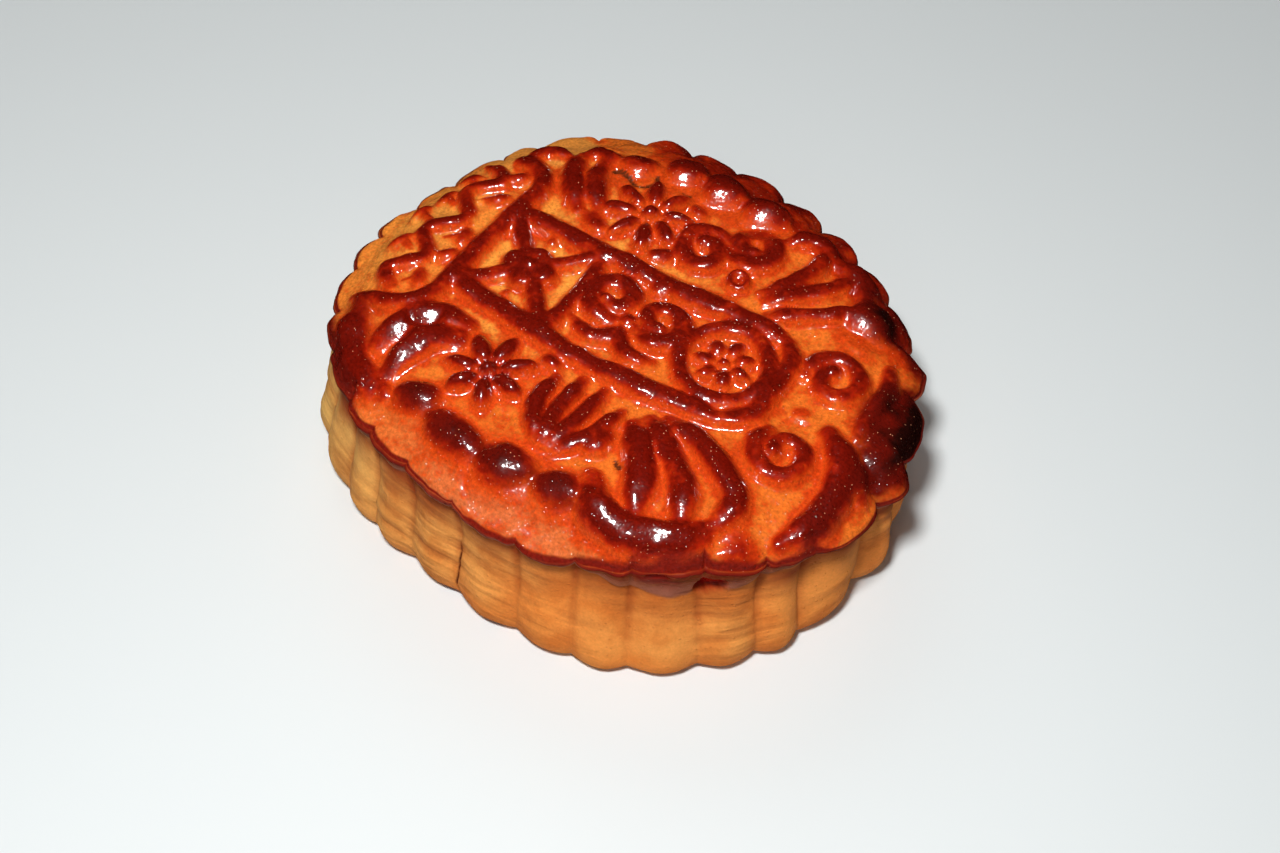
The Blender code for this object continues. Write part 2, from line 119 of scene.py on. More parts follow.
def lobe_place(angle, height):
    """For angles in radians: which lobe each lies on, and how far through it, from 0 to 1."""
    ends = FIRST_NOTCH + np.concatenate(([0.0], np.cumsum(LOBE_SPANS)))
    turned = (np.degrees(mould_angle(angle, height)) - FIRST_NOTCH) % 360.0 + FIRST_NOTCH
    lobe = np.clip(np.searchsorted(ends, turned, side="right") - 1, 0, len(LOBE_SPANS) - 1)
    return lobe, (turned - ends[lobe]) / np.asarray(LOBE_SPANS)[lobe]


def oval_factor(angle):
    """How far the baked outline departs from the oval."""
    return (
        1.0
        + 0.024 * np.cos(3.0 * (angle + math.radians(12.0)))
        + 0.013 * np.cos(4.0 * (angle - math.radians(37.0)))
        - 0.020 * hump(angle, 160.0, 28.0)
        + 0.024 * hump(angle, 1.0, 6.0)
    )


def scallop(angle, share, height):
    """How far the scalloped side stands out from the oval, in mm."""
    lobe, through = lobe_place(angle, height)
    across = 2.0 * through - 1.0
    crisp = np.sqrt(np.maximum(1.0 - across**2, 0.0)) ** 0.9
    worn = 0.08 + 0.92 * np.cos(0.5 * math.pi * across) ** 1.4
    down = RIM_HEIGHT - height
    wear = smooth_step(2.0, 13.0, down) * (0.70 + 0.25 * np.sin(7.0 * angle + 1.0))
    bulge = mixed(crisp, worn, wear)
    depths = SCALLOP_DEPTH * np.asarray(LOBE_DEPTHS)
    neighbour = depths[(lobe + np.where(through > 0.5, 1, -1)) % len(LOBE_SPANS)]
    depth = mixed(depths[lobe], 0.5 * (depths[lobe] + neighbour), np.abs(across))
    filled = 0.40 * hump(angle, 262.0, 46.0) + 0.75 * hump(angle, 337.0, 8.0)
    depth = depth * (1.0 - filled * smooth_step(5.0, 1.0, down))
    out = SCALLOP_STAND_OUT - depth * (1.0 - bulge)
    out = out * mixed(0.80, 1.0, smooth_step(0.0, 9.0, height))
    plump = hump(angle, 60.0, 65.0)
    return out * smooth_step(mixed(0.950, 0.83, plump), mixed(1.0, 0.985, plump), share)


CROWN_SECTION = (
    (1.000, RIM_HEIGHT - 0.5),
    (0.994, RIM_HEIGHT + 0.05),
    (0.984, RIM_HEIGHT + 0.4),
    (0.965, RIM_HEIGHT + 0.85),
    (0.940, CROWN_HEIGHT - 3.05),
    (0.905, CROWN_HEIGHT - 2.25),
    (0.870, CROWN_HEIGHT - 1.6),
    (0.830, CROWN_HEIGHT - 1.0),
    (0.790, CROWN_HEIGHT - 0.58),
    (0.740, CROWN_HEIGHT - 0.24),
    (0.680, CROWN_HEIGHT - 0.05),
    (0.550, CROWN_HEIGHT + 0.1),
    (0.300, CROWN_HEIGHT + 0.3),
    (0.000, CROWN_HEIGHT + 0.4),
)
WALL_SECTION = (
    (1.000, RIM_HEIGHT - 0.5),
    (1.000, RIM_HEIGHT - 0.9),
    (0.996, RIM_HEIGHT - 1.4),
    (0.988, RIM_HEIGHT - 2.4),
    (0.982, RIM_HEIGHT - 4.2),
    (0.984, RIM_HEIGHT - 7.0),
    (0.996, RIM_HEIGHT - 11.0),
    (1.010, 10.5),
    (1.022, 6.5),
    (1.020, 3.6),
    (1.004, 1.5),
    (0.976, 0.4),
    (0.944, 0.0),
)


def smooth_section(section, places):
    """Shares and heights along a smooth curve through a section's points; places run 0 to 1."""
    points = np.asarray(section)
    gaps = np.hypot(np.diff(points[:, 0]) * HALF_WIDTH, np.diff(points[:, 1]))
    along = np.concatenate(([0.0], np.cumsum(gaps)))
    slopes = np.gradient(points, along, axis=0)
    want = np.asarray(places) * along[-1]
    i = np.clip(np.searchsorted(along, want, side="right") - 1, 0, len(points) - 2)
    span = along[i + 1] - along[i]
    t = ((want - along[i]) / span)[:, None]
    span = span[:, None]
    return (
        (2 * t**3 - 3 * t**2 + 1) * points[i]
        + (t**3 - 2 * t**2 + t) * span * slopes[i]
        + (-2 * t**3 + 3 * t**2) * points[i + 1]
        + (t**3 - t**2) * span * slopes[i + 1]
    )


def on_the_dough(angle, share, height):
    """Places of points given by angle, share of the oval and height."""
    swelling = 3.4 * hump(angle, -60.0, 26.0) + 1.2 * hump(angle, -28.0, 16.0)
    swelling *= 1.0 - smooth_step(0.0, 15.0, height)
    edge = smooth_step(0.55, 0.96, share) * smooth_step(2.0, RIM_HEIGHT, height)
    pushed = 1.0 * hump(angle, 280.0, 13.0) - 0.8 * hump(angle, 315.0, 9.0) + 0.9 * hump(angle, 350.0, 9.0)
    sunk = 1.6 * hump(angle, 280.0, 13.0) - 1.0 * hump(angle, 315.0, 9.0)
    grow = share * oval_factor(angle)
    grow += (swelling + pushed * edge + scallop(angle, share, height)) / HALF_WIDTH
    lean = 3.0 * np.maximum(1.0 - height / RIM_HEIGHT, 0.0)
    return np.stack(
        (
            HALF_LENGTH * grow * np.cos(angle) - lean,
            HALF_WIDTH * grow * np.sin(angle),
            height - sunk * edge,
        ),
        axis=-1,
    )


# ---------------------------------------------------------------------------------------------
# The moulded ornament.  Ribs, beads, petals and scrolls carved in the mould's floor stand up
# from the crown; each is kept as a stroke with its half width and rise, for the crust to read.
# ---------------------------------------------------------------------------------------------
RAIL = (2.25, 2.1)
RIB = (2.0, 1.95)
FINE_RIB = (1.75, 1.8)
STROKES = []
BEADS = []
BUNS = []


def smooth_route(points, per_span=8, closed=False):
    """Points along a smooth curve through the given ones."""
    points = np.asarray(points, float)
    if closed:
        padded = np.concatenate((points[-1:], points, points[:2]))
    else:
        padded = np.concatenate((points[:1], points, points[-1:]))
    route = []
    for a, b, c, d in zip(padded, padded[1:], padded[2:], padded[3:]):
        t = (np.arange(per_span) / per_span)[:, None]
        route.append(
            0.5
            * (
                2.0 * b
                + (c - a) * t
                + (2.0 * a - 5.0 * b + 4.0 * c - d) * t * t
                + (3.0 * b - a - 3.0 * c + d) * t**3
            )
        )
    route.append(padded[-2:-1])
    return np.concatenate(route)


def rib(points, size=RIB, tips=(0.55, 0.55), closed=False, steep=1.05):
    """A raised rib along a smooth line, running out at its tips."""
    route = smooth_route(points, closed=closed)
    along = np.concatenate(([0.0], np.cumsum(np.hypot(*np.diff(route, axis=0).T))))
    run_out = 1.6 * size[0]
    start = mixed(tips[0], 1.0, smooth_step(0.0, run_out, along))
    end = mixed(tips[1], 1.0, smooth_step(0.0, run_out, along[-1] - along))
    taper = np.ones(len(route)) if closed else start * end
    STROKES.append((route, size[0] * (0.4 + 0.6 * taper), size[1] * taper, steep))


def bead(place, size, rise, turn=0.0, steep=0.8, hollow=0.0):
    """An oval bead; hollow makes a dimple in its top."""
    BEADS.append((place, size, rise, math.radians(turn), steep, hollow))


def bun(place, size, rise, turn=0.0):
    """A fat bead with a low apron where it has sagged toward the near side."""
    bead(place, size, rise, turn, 0.65)
    bead((place[0] + 0.8, place[1] - 1.5), (1.12 * size[0], 1.12 * size[1]), 0.42 * rise, turn, 0.9)
    BUNS.append((place, size))


def curl(centre, radius, start, sweep, size=FINE_RIB, tightening=0.66):
    """A spiral scroll winding in from its radius, ending in a small knob."""
    bends = round(abs(sweep) / 40.0)
    t = np.linspace(0.0, 1.0, bends + 1)
    angle = np.radians(start + sweep * t)
    reach = radius * (1.0 - tightening * t)
    points = np.stack((centre[0] + reach * np.cos(angle), centre[1] + reach * np.sin(angle)), -1)
    rib(points, size, tips=(0.6, 0.9))
    bead(points[-1], (2.6, 2.6), size[1] + 0.1)


def blossom(centre, radius, petals, turn, rise, plump=1.25, hollow=0.0):
    """A flower of oval petals round a knob; hollow petals are dished."""
    for i in range(petals):
        angle = math.radians(turn + 360.0 * i / petals)
        place = (centre[0] + 0.6 * radius * math.cos(angle), centre[1] + 0.6 * radius * math.sin(angle))
        width = plump * radius * math.sin(math.pi / petals)
        bead(place, (0.80 * radius, width), rise, math.degrees(angle), 0.6, hollow)
    bead(centre, (0.42 * radius, 0.42 * radius), rise * 1.05)


# The band: two long rails closed at each end, with a crossed panel, a cloud and a ringed flower.
rib(((-26.0, 8.2), (-12.0, 8.4), (0.0, 8.7), (12.0, 9.9), (22.0, 10.4)), RAIL)
rib(((-26.8, -9.0), (-16.0, -9.7), (-5.0, -10.5), (8.0, -9.6), (21.0, -7.6)), RAIL)
rib(((21.5, 10.4), (24.2, 7.0), (24.6, 0.0), (24.2, -4.8), (20.5, -7.7)))
rib(((-35.0, 17.2), (-29.5, 17.6), (-26.6, 13.5), (-26.8, 4.0), (-27.3, -6.0), (-28.0, -14.2),
     (-32.0, -17.4), (-38.4, -18.4)))
rib(((-9.2, 8.6), (-9.4, -10.2)), FINE_RIB)
rib(((-26.0, 7.6), (-18.2, -0.8), (-10.0, -9.4)), FINE_RIB, tips=(1.0, 1.0))
rib(((-26.4, -8.6), (-18.2, -0.8), (-10.0, 7.8)), FINE_RIB, tips=(1.0, 1.0))
blossom((-18.2, -0.8), 4.6, 4, 0.0, 2.2)
bead((-18.2, 5.6), (2.4, 2.2), 1.2)
bead((-18.4, -6.6), (2.2, 2.2), 1.2)
curl((-3.9, 1.9), 4.3, -62.0, -420.0, RIB)
curl((4.3, 1.9), 4.3, 242.0, 420.0, RIB)
rib(((-7.0, -5.0), (-3.4, -6.0), (0.2, -4.0), (3.8, -6.0), (7.2, -5.0)), FINE_RIB)
bead((0.2, -1.2), (3.4, 3.4), 1.7)
bead((0.2, 7.0), (3.6, 3.0), 1.5)
MEDALLION = (16.2, 1.1)
rib([(MEDALLION[0] + 6.7 * math.cos(math.tau * i / 12), MEDALLION[1] + 6.7 * math.sin(math.tau * i / 12))
     for i in range(12)], FINE_RIB, closed=True)
blossom(MEDALLION, 4.9, 7, 90.0, 1.9)

# The columns: running scrolls beyond each end of the band, and the crests by the burnt lobe.
VINE = (1.65, 1.6)
rib(((-37.6, 15.0), (-32.6, 12.4), (-35.8, 7.2), (-32.4, 2.4), (-36.6, -2.4), (-33.2, -7.6),
     (-37.0, -12.2), (-34.0, -15.2)), VINE)
for leaf_x, leaf_y, leaf_turn in ((-30.6, 14.4, 60.0), (-37.6, 10.6, 30.0), (-30.4, 8.2, 70.0),
                                  (-38.4, 5.4, 80.0), (-30.2, -0.8, 100.0), (-40.0, 0.6, 80.0),
                                  (-38.4, -6.2, 60.0), (-30.4, -5.4, 60.0), (-31.2, -11.6, 120.0)):
    bead((leaf_x, leaf_y), (4.8, 3.0), 1.5, leaf_turn)
    rib(((leaf_x, leaf_y), (0.4 * leaf_x - 20.7, leaf_y - 1.6)), (1.1, 1.1))
curl((31.4, 8.4), 4.9, 200.0, -420.0, (1.9, 1.6))
curl((32.0, -7.6), 4.9, 150.0, 420.0, (1.9, 1.7))
bead((30.2, 0.6), (4.4, 3.4), 0.8)
rib(((35.5, -0.3), (39.3, -3.0), (41.2, -9.0), (41.2, -15.0), (39.2, -19.4)), (2.7, 2.3))
rib(((38.0, -1.6), (41.6, -3.6), (44.6, -6.2)), (1.9, 1.5))
rib(((36.4, 16.4), (38.2, 12.0), (38.7, 6.5), (38.9, 2.0)), (1.7, 1.7))
bead((43.4, 6.0), (11.0, 14.5), 2.0, 5.0, 0.8)
bead((35.6, -24.4), (10.5, 8.0), 1.1, -35.0, 1.0)

# A short string of fat beads above and below.
bun((-17.0, 27.2), (7.6, 5.6), 2.0, 8.0)
bun((-9.9, 30.2), (7.0, 7.4), 2.6)
bun((-3.0, 30.4), (8.4, 7.8), 2.9)
bun((4.8, 30.2), (9.0, 7.6), 2.8)
bun((-18.2, -29.2), (7.8, 5.6), 2.0, 20.0)
bun((-9.6, -31.7), (11.0, 6.0), 2.2, -4.0)
bun((-0.2, -32.0), (9.8, 6.6), 2.3, 22.0)
bun((8.2, -30.8), (8.6, 5.8), 2.2, 24.0)

# Fans of long petals in the four corners.
rib(((-31.8, 18.0), (-31.4, 21.4), (-29.0, 22.8), (-26.6, 22.4)), (1.9, 1.9))
rib(((-25.6, 24.6), (-24.0, 26.6), (-21.6, 26.6), (-20.4, 24.6)), (1.9, 1.9))
rib(((-25.4, 24.0), (-24.8, 20.6), (-22.2, 16.8), (-19.4, 13.8)), (2.4, 2.1))
rib(((-21.6, 24.8), (-20.6, 21.0), (-18.4, 17.6), (-16.4, 15.4)), (2.2, 2.0))
rib(((11.0, 26.6), (12.6, 29.4), (15.4, 30.2), (19.0, 29.1)), (2.1, 2.2))
rib(((16.8, 29.8), (17.2, 25.0), (15.8, 20.0), (13.2, 15.6)), (1.9, 1.8))
rib(((19.4, 28.6), (22.6, 28.6), (25.4, 26.8), (26.8, 24.4)), (2.5, 2.5))
rib(((23.4, 27.0), (20.8, 22.6), (17.6, 18.4), (14.4, 14.6)), (1.9, 1.8))
bun((29.4, 21.4), (7.8, 8.6), 3.0, -10.0)
rib(((27.8, 21.0), (23.4, 17.8), (19.8, 15.0), (16.2, 12.6)), (1.9, 1.8))
rib(((15.6, -12.8), (20.6, -12.9), (26.2, -15.4), (30.6, -18.8), (30.2, -23.4)), (2.5, 2.3))
rib(((13.0, -14.2), (18.2, -16.8), (22.6, -20.6), (26.4, -26.0)), (2.4, 2.1))
rib(((11.6, -16.2), (15.0, -19.4), (18.0, -23.4), (20.0, -28.0)), (2.7, 2.3))
rib(((11.8, -27.0), (15.2, -30.4), (20.2, -31.2), (25.8, -29.2), (29.4, -25.4)), (3.2, 2.7))
rib(((-19.6, -14.8), (-24.2, -15.9), (-27.6, -19.4), (-29.5, -24.8)), (2.7, 2.2))
rib(((-19.4, -17.6), (-22.8, -19.6), (-24.2, -23.4), (-24.7, -28.2)), (3.0, 2.5))
rib(((-35.8, -19.8), (-33.6, -26.2), (-29.4, -30.4), (-23.4, -31.2)), (3.4, 2.3))

# A flower or a cloud between the beads and each rail.
blossom((-9.4, 18.8), 7.6, 8, 20.0, 2.3, 1.02)
bead((-15.6, 13.0), (6.0, 3.8), 1.7, 160.0)
bead((-3.2, 13.2), (6.0, 3.8), 1.7, 25.0)
bead((-3.6, 24.2), (4.2, 3.4), 1.7)
curl((1.8, 17.8), 4.4, 60.0, 430.0, RIB)
curl((7.4, 22.8), 4.2, 230.0, 430.0, RIB)
bead((9.2, 15.4), (4.4, 4.4), 1.8, 0.0, 0.8, 0.5)
blossom((-11.8, -19.8), 7.2, 7, 90.0, 2.3, 1.0)
bead((-5.0, -13.8), (4.6, 3.2), 1.6, -15.0)
for i, (tip_x, tip_y) in enumerate(((-2.9, -15.8), (0.6, -13.8), (4.4, -13.4), (8.4, -14.8))):
    root_x = 2.6 + 1.1 * (i - 1.5)
    middle = (0.5 * (root_x + tip_x) + 0.9 * (i - 1.5), 0.5 * (-26.2 + tip_y))
    rib(((root_x, -26.2), middle, (tip_x, tip_y)), (1.7, 1.9))
bead((9.0, -21.4), (5.0, 6.4), 2.0, -20.0)


def relief_at(x, y, spread=1.0):
    """Rise of the ornament over points of the plan, in mm; spread widens each piece of it."""
    flow = 4.0
    total = np.zeros(len(x))
    for route, half_width, rise, steep in STROKES:
        reach = spread * half_width.max()
        low = route.min(0) - reach
        high = route.max(0) + reach
        near = np.nonzero((x > low[0]) & (x < high[0]) & (y > low[1]) & (y < high[1]))[0]
        px, py = x[near], y[near]
        best = np.zeros(len(near))
        wide = spread * half_width
        for a, b, wa, wb, ha, hb in zip(route, route[1:], wide, wide[1:], rise, rise[1:]):
            dx, dy = b - a
            length = dx * dx + dy * dy
            if length < 1e-9:
                continue
            t = np.clip(((px - a[0]) * dx + (py - a[1]) * dy) / length, 0.0, 1.0)
            off = np.hypot(px - a[0] - t * dx, py - a[1] - t * dy) / mixed(wa, wb, t)
            rib_rise = mixed(ha, hb, t) * np.maximum(1.0 - off**2.7, 0.0) ** steep
            best = np.maximum(best, rib_rise)
        total[near] += best**flow
    for place, size, rise, turn, steep, hollow in BEADS:
        dx, dy = (x - place[0]) / spread, (y - place[1]) / spread
        along = (dx * math.cos(turn) + dy * math.sin(turn)) / (0.5 * size[0])
        across = (dy * math.cos(turn) - dx * math.sin(turn)) / (0.5 * size[1])
        off = np.hypot(along, across)
        dome = np.maximum(1.0 - off * off, 0.0) ** steep
        if hollow:
            lip = np.maximum(1.0 - (np.abs(off - 0.66) / 0.34) ** 2.4, 0.0)
            dome = np.maximum(lip, (1.0 - hollow) * dome)
        total += (rise * dome) ** flow
    return total ** (1.0 / flow)


# ---------------------------------------------------------------------------------------------
# The crust.  One skin over the whole cake: the crown with its ornament, the crisp glazed rim,
# the soft matt side with its pressed folds, and the flat base that it was baked on.
# ---------------------------------------------------------------------------------------------
CROWN_CELLS = 232
WALL_RINGS = 44
EDGE_GATHER = 0.55              # how much closer the rings of the crown lie at the rim


def square_angle(a, b):
    """The angle round a square grid, even along each of its square rings."""
    quarter = math.pi / 4.0
    wide = np.abs(a) >= np.abs(b)
    long_side = np.where(wide, a, b)
    slope = np.where(wide, b, -a) / np.where(long_side == 0.0, 1.0, long_side)
    start = np.where(wide, np.where(a >= 0.0, 0.0, 4.0), np.where(b >= 0.0, 2.0, 6.0))
    return quarter * (start + slope)


def crust_grid():
    """Angle, share, height of every point of the skin, and its faces; crown first, then the wall."""
    line = np.linspace(-1.0, 1.0, CROWN_CELLS + 1)
    a, b = (grid.ravel() for grid in np.meshgrid(line, line, indexing="ij"))
    angle = square_angle(a, b) % math.tau
    ring = np.maximum(np.abs(a), np.abs(b))
    outermost = ring == 1.0
    ring = ring + EDGE_GATHER * ring * ring * (1.0 - ring)
    share, height = smooth_section(CROWN_SECTION, 1.0 - ring).T
    number = np.arange(len(ring)).reshape(len(line), len(line))
    faces = np.stack((number[:-1, :-1], number[1:, :-1], number[1:, 1:], number[:-1, 1:]), -1)

    edge = np.nonzero(outermost)[0]
    edge = edge[np.argsort(angle[edge])]
    down = (np.arange(1, WALL_RINGS + 1) / WALL_RINGS) ** 1.35
    wall = smooth_section(WALL_SECTION, down)
    rings = np.arange(WALL_RINGS * len(edge)).reshape(WALL_RINGS, -1) + len(ring)
    rings = np.concatenate((edge[None], rings))
    upper, lower = rings[:-1], rings[1:]
    strips = np.stack((upper, lower, np.roll(lower, -1, 1), np.roll(upper, -1, 1)), -1)
    return (
        np.concatenate((angle, np.tile(angle[edge], WALL_RINGS))),
        np.concatenate((share, np.repeat(wall[:, 0], len(edge)))),
        np.concatenate((height, np.repeat(wall[:, 1], len(edge)))),
        np.concatenate((faces.reshape(-1, 4), strips.reshape(-1, 4))),
        rings[-1],
    )


angle, share, height, faces, foot = crust_grid()
places = on_the_dough(angle, share, height)
crown = np.arange(len(angle)) < (CROWN_CELLS + 1) ** 2
on_wall = ~crown
drop = np.maximum(RIM_HEIGHT - height, 0.0) * on_wall
past_rim = np.where(crown, (share - 1.0) * HALF_WIDTH, drop)

# the ornament, drawn a little unevenly as pressed dough is
wander = np.stack((soft_noise(places, 7.0, 1), soft_noise(places, 7.0, 2)), -1) * 0.40
wander += np.stack((soft_noise(places, 2.2, 3), soft_noise(places, 2.2, 4)), -1) * 0.22
plan = places[crown, :2] + wander[crown]
relief = np.zeros(len(places))
relief[crown] = relief_at(plan[:, 0], plan[:, 1])
halo = np.zeros(len(places))
halo[crown] = relief_at(plan[:, 0], plan[:, 1], 1.35)
web = np.zeros(len(places))
web[crown] = relief_at(plan[:, 0], plan[:, 1], 2.1)
# the browning mask is read a little off toward the far side: the far slope of each stroke is painted
# darker and its near slope lighter, partly glaze pooled on the far side and partly painted shade and light
# from the key lamp by the camera
glaze_and_shade_shift = np.array((-0.19, 0.30))
run = plan - glaze_and_shade_shift
browning_and_shade = np.zeros(len(places))
browning_and_shade[crown] = 0.62 * relief_at(run[:, 0], run[:, 1], 0.88) + 0.56 * relief_at(run[:, 0], run[:, 1], 1.12)
relief *= 1.0 + 0.20 * soft_noise(places, 5.0, 5)
relief += 0.26 * soft_noise(places, 2.8, 9) * smooth_step(0.6, 1.6, relief)
relief = (0.86 * relief + 0.30 * web) * smooth_step(1.0, 0.965, share)
lift = relief + 0.30 * soft_noise(places, 9.0, 6) + 0.11 * soft_noise(places, 2.6, 7)
lift += 0.045 * soft_noise(places, 1.1, 8)


def spot(x, y, reach_x, reach_y=None):
    """A soft spot on the plan, 1 in its middle."""
    across = (places[:, 0] - x) / reach_x
    deep = (places[:, 1] - y) / (reach_y or reach_x)
    return np.exp(-across * across - deep * deep)


def crack(points, half_width, wobble, seed):
    """1 along the line of a crack on the plan, running out to 0 at its edges and its ends."""
    route = smooth_route(points)
    x = places[:, 0] + wobble * soft_noise(places, 1.3, seed)
    y = places[:, 1] + wobble * soft_noise(places, 1.3, seed + 1)
    best = np.zeros(len(places))
    near = np.nonzero(crown & (np.hypot(x - route[:, 0].mean(), y - route[:, 1].mean()) < 8.0))[0]
    for i, (a, b) in enumerate(zip(route, route[1:])):
        dx, dy = b - a
        length = max(dx * dx + dy * dy, 1e-9)
        t = np.clip(((x[near] - a[0]) * dx + (y[near] - a[1]) * dy) / length, 0.0, 1.0)
        off = np.hypot(x[near] - a[0] - t * dx, y[near] - a[1] - t * dy)
        through = (i + t) / (len(route) - 1)
        wide = half_width * np.sqrt(np.maximum(1.0 - (2.0 * through - 1.0) ** 2, 0.0)) + 1e-3
        best[near] = np.maximum(best[near], np.maximum(1.0 - off / wide, 0.0))
    return best


# the crust has split where it was lifted most, and has a crumb pit and a burst bubble
split = crack(((-19.6, 24.2), (-16.8, 24.3), (-14.6, 23.4), (-13.2, 24.6)), 0.55, 0.5, 21)
split = np.maximum(split, crack(((-13.2, 24.4), (-12.8, 25.8), (-13.0, 27.2)), 0.8, 0.4, 22))
split = np.maximum(split, crack(((-8.2, 26.4), (-7.2, 26.2), (-6.4, 26.7)), 0.5, 0.3, 23))
split = np.maximum(split, crack(((-24.8, 28.9), (-22.6, 28.3), (-20.8, 28.0)), 0.8, 0.7, 24))
split = np.maximum(split, crack(((12.6, -22.4), (13.4, -23.2), (14.2, -22.6)), 0.6, 0.5, 25))
ring = np.hypot(places[:, 0] - 26.3, places[:, 1] + 13.4)
bubble = np.exp(-(((ring - 0.75) / 0.28) ** 2)) * crown
lift += 0.10 * bubble - 0.75 * split
places[:, 2] += lift * crown * smooth_step(1.0, 0.985, share)

# the upper beads and the lower left petals have sagged to a broad slope on their near side
NEAR_WAY = np.array((0.467, -0.884))
UPPER_ROUNDNESS = (5.0, 6.0, 9.0, 8.0, 9.0)


def sag(x, y, reach, roundness, slope):
    """Sinks what stands over a shallow dome falling toward the near side of a place on the plan."""
    away = places[:, :2] - (x, y)
    squared = (away * away).sum(1)
    top = places[np.argmin(squared + 1e6 * on_wall), 2] - 0.25
    over = places[:, 2] - (top - slope * (away @ NEAR_WAY) - squared / (2.0 * roundness))
    sunk = 0.5 * (over + np.sqrt(over * over + 0.09))
    within = smooth_step(reach * reach, 0.36 * reach * reach, squared) * smooth_step(0.3, 1.5, relief)
    places[:, 2] -= np.minimum(sunk, 0.6 * relief) * within


upper_buns = [bun_given for bun_given in BUNS if bun_given[0][1] > 0.0]
for ((bun_x, bun_y), size), roundness in zip(upper_buns, UPPER_ROUNDNESS):
    sag(bun_x + 0.6, bun_y - 1.4, 0.62 * max(size), roundness, 0.65 + 0.0028 * bun_y)
sag(-28.6, -21.6, 4.0, 10.0, 0.60)
sag(-24.4, -25.6, 4.5, 10.0, 0.60)
sag(-25.6, -16.8, 3.5, 8.0, 0.62)

# the rim has baked uneven
level = places * (1.0, 1.0, 0.0)
near_rim = smooth_step(-4.5, -0.6, past_rim) * smooth_step(7.0, 1.5, past_rim)
places[:, 2] += (0.45 * soft_noise(level, 6.0, 51) + 0.15 * soft_noise(level, 2.0, 52)) * near_rim
rolled_edge = np.exp(-(((past_rim + 0.50 + 0.12 * soft_noise(level, 2.5, 55)) / 0.22) ** 2)) * crown
places[:, 2] += 0.12 * rolled_edge * hump(angle, 285.0, 75.0)

# the side: soft level folds, a ragged film of glaze under the rim, a pit, low dents
stretched = places * (0.20, 0.20, 1.0)
through = lobe_place(angle, height)[1]
bow = (2.0 * through - 1.0) ** 2
stretched[:, 2] += 1.5 * bow
fold = soft_noise(stretched, 1.9, 11) + 0.5 * soft_noise(stretched, 1.1, 12)
fold_strength = 0.45 + 0.55 * soft_noise(places, 8.0, 13)
fold_strength *= smooth_step(1.0, 4.0, drop) * smooth_step(1.0, 5.0, height)
film_depth = 1.2 + 6.6 * hump(angle, 311.0, 17.0) + 1.9 * hump(angle, 240.0, 26.0)
film_depth += 1.3 * hump(angle, 345.0, 14.0) + 1.6 * hump(angle, 6.0, 9.0)
film_depth += 0.8 * soft_noise(level, 4.0, 14) + 0.3 * soft_noise(level, 1.4, 18)
film = smooth_step(0.5, -0.5, drop - film_depth)
thick_film = film * np.clip(1.0 - drop / np.maximum(film_depth, 0.5), 0.0, 1.0)
pit_place = places[:, 2] + 1.2 * soft_noise(places, 3.0, 19)
PIT_HEIGHT = RIM_HEIGHT - 5.4
pit = 3.2 * hump(angle, 317.2, 2.6) * np.exp(-(((PIT_HEIGHT - pit_place) / 1.9) ** 2))
pit = smooth_step(0.5, 1.1, pit)
pit = np.maximum(pit, 0.5 * hump(angle, 305.6, 2.2) * np.exp(-(((drop - 1.6) / 0.8) ** 2))) * on_wall
side_split = hump(mould_angle(angle, height) + 0.006 * soft_noise(places, 2.2, 31), 264.0, 0.22) * on_wall
side_split *= smooth_step(2.0, 4.0, height) * smooth_step(14.5, 11.5, height)
out = 0.30 * fold * fold_strength + 0.35 * film
out += 0.34 * soft_noise(places, 11.0, 15) + 0.10 * soft_noise(places, 2.8, 16)
out += 0.22 * film * soft_noise(places * (1.0, 1.0, 0.30), 2.0, 17)
out -= 1.5 * pit + 0.5 * side_split
out *= on_wall * smooth_step(0.2, 1.2, drop) * smooth_step(0.0, 1.5, height)
shrunk = np.sin(9.0 * past_rim + 1.5 * soft_noise(places, 3.0, 20))
out += 0.05 * shrunk * smooth_step(-1.4, -0.2, past_rim) * smooth_step(3.0, 1.0, past_rim)
out += (0.35 * soft_noise(level, 4.5, 53) + 0.14 * soft_noise(level, 1.7, 54)) * near_rim
outward = np.stack((np.cos(angle) / HALF_LENGTH, np.sin(angle) / HALF_WIDTH), -1)
outward /= np.linalg.norm(outward, axis=1)[:, None]
places[:, :2] += out[:, None] * outward

# where the oven caught it: most at one end of the long axis, then the lower left and the beads; on the
# upper beads it is set toward the far side, so there it also paints the shade of their far slopes
BURNT_LOBE = ((1.25, 45.5, 8.0, 5.0, 6.4), (0.55, 38.6, 9.0, 2.4, 6.0), (0.50, 43.0, -1.0, 3.6, 5.0))
LOWER_LEFT = ((0.30, -33.0, -26.6, 4.6, 6.4), (0.30, -36.0, -19.0, 3.6, 3.6))
BURNT_BEAD_AND_CREST = ((1.0, 31.4, 22.6, 3.0, 3.4), (0.50, 41.8, -12.0, 2.4, 6.0))
PETAL_TIPS = (
    (0.45, 24.5, 28.0, 4.0, 2.4),
    (0.35, 14.5, 30.6, 4.0, 1.8),
    (0.30, 29.0, -20.0, 3.5, 3.5),
    (0.30, 19.0, -31.4, 6.0, 2.6),
)
PANEL_FLOWER = ((0.30, -18.0, -2.4, 3.6, 3.6),)
BACK_LOBES = (14.0, 21.0, 33.0, 45.0, 60.0, 72.0, 84.0, 96.0, 108.0)
char = np.zeros(len(places))
for strength, *burnt_place in BURNT_LOBE + LOWER_LEFT + BURNT_BEAD_AND_CREST + PETAL_TIPS + PANEL_FLOWER:
    char += strength * spot(*burnt_place)
for back_lobe in BACK_LOBES:
    char += 0.50 * hump(angle, back_lobe, 5.0) * smooth_step(-3.4, -0.8, past_rim)
char *= 1.0 + 0.35 * soft_noise(places, 2.4, 44)
